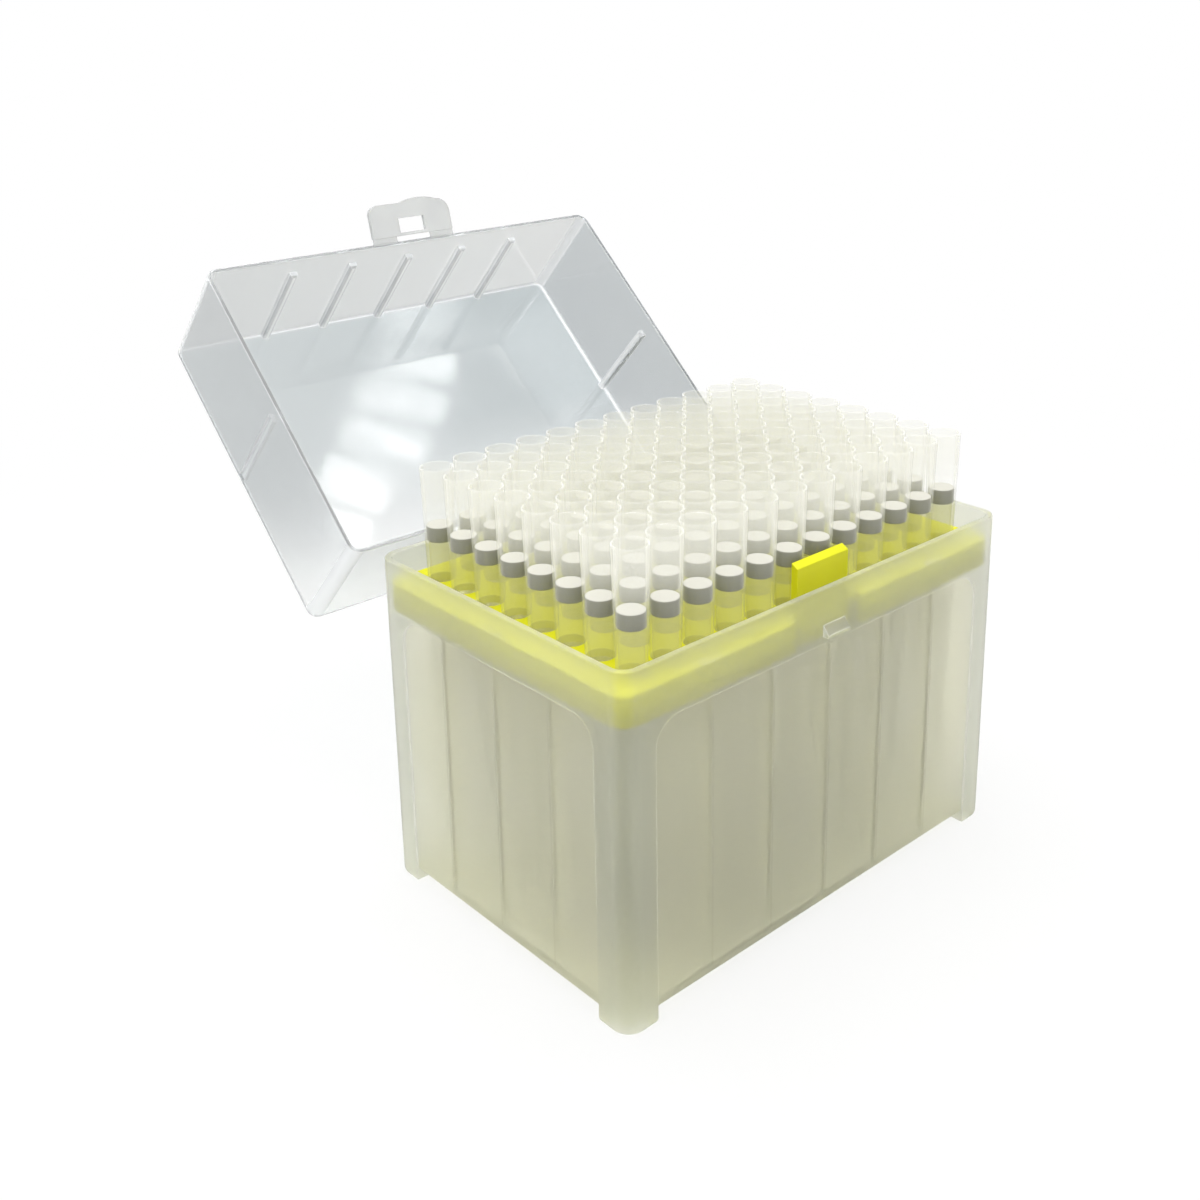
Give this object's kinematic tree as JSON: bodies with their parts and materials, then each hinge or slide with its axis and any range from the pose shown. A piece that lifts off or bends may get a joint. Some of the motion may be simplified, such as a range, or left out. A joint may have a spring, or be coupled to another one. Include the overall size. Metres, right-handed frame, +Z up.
{
  "type": "box of pipette tips",
  "caption": "Open hinged-lid box with feet, holding a perforated rack of clear filter tips; the lid has a flip-up latch.",
  "frame": {"origin": "on the bench plane, at the centre of the base's footprint between its four feet", "axes": "+X along the twelve places, -Y towards the catch, +Y towards the lid hinge, +Z up"},
  "size_m": [0.1238, 0.1745, 0.1468],
  "materials": {
    "base": "satin, milky",
    "tip_rack": "satin",
    "lid": "clear gloss",
    "lid_latch": "clear gloss",
    "tip": "clear gloss",
    "filter": "porous, matt"
  },
  "bodies": {
    "box": {"base": "base", "tip_rack": "tip_rack", "tips_column_01": "tip", "tips_column_02": "tip", "tips_column_03": "tip", "tips_column_04": "tip", "tips_column_05": "tip", "tips_column_06": "tip", "tips_column_07": "tip", "tips_column_08": "tip", "tips_column_09": "tip", "tips_column_10": "tip", "tips_column_11": "tip", "tips_column_12": "tip", "filters_column_01": "filter", "filters_column_02": "filter", "filters_column_03": "filter", "filters_column_04": "filter", "filters_column_05": "filter", "filters_column_06": "filter", "filters_column_07": "filter", "filters_column_08": "filter", "filters_column_09": "filter", "filters_column_10": "filter", "filters_column_11": "filter", "filters_column_12": "filter"},
    "lid": {"lid": "lid"},
    "latch": {"lid_latch": "lid_latch"}
  },
  "joints": [
    {"name": "lid_hinge", "type": "hinge", "parent": "box", "child": "lid", "pos_m": [0, 0.046, 0.0754], "axis": [1, 0, 0], "range_deg": [0, 137]},
    {"name": "latch_hinge", "type": "hinge", "parent": "lid", "child": "latch", "pos_m": [0, 0.10962, 0.13562], "axis": [1, 0, 0], "range_deg": [-50, 57], "stiffness_Nm_per_rad": 0.003}
  ]
}
